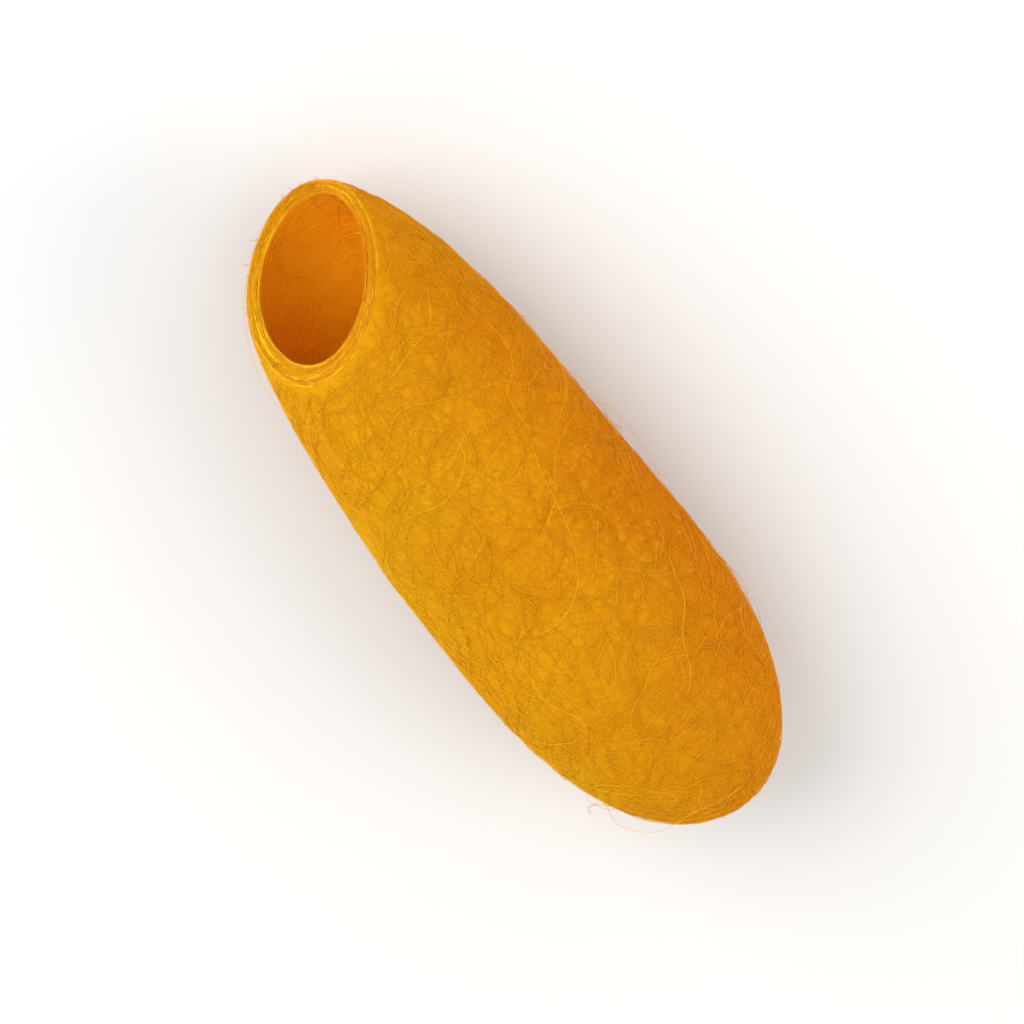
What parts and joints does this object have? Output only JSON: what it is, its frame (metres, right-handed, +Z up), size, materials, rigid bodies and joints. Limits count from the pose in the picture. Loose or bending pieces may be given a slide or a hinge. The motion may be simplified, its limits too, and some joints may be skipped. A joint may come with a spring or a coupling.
{
  "type": "silk cocoon",
  "caption": "Hollow golden silk cocoon shell, round and closed at one end and cut open on a slant at the other, lying on its side.",
  "frame": {"origin": "under the middle of the bounding box, on the surface that the cocoon lies on", "axes": "+X from the closed end towards the mouth, +Y towards the side that the slanting mouth also faces, +Z up"},
  "size_m": [0.0352, 0.0124, 0.0115],
  "materials": {
    "silk": "matt felted silk with a soft sheen and loose floss"
  },
  "bodies": {
    "root": {"cocoon": "silk"}
  },
  "joints": []
}
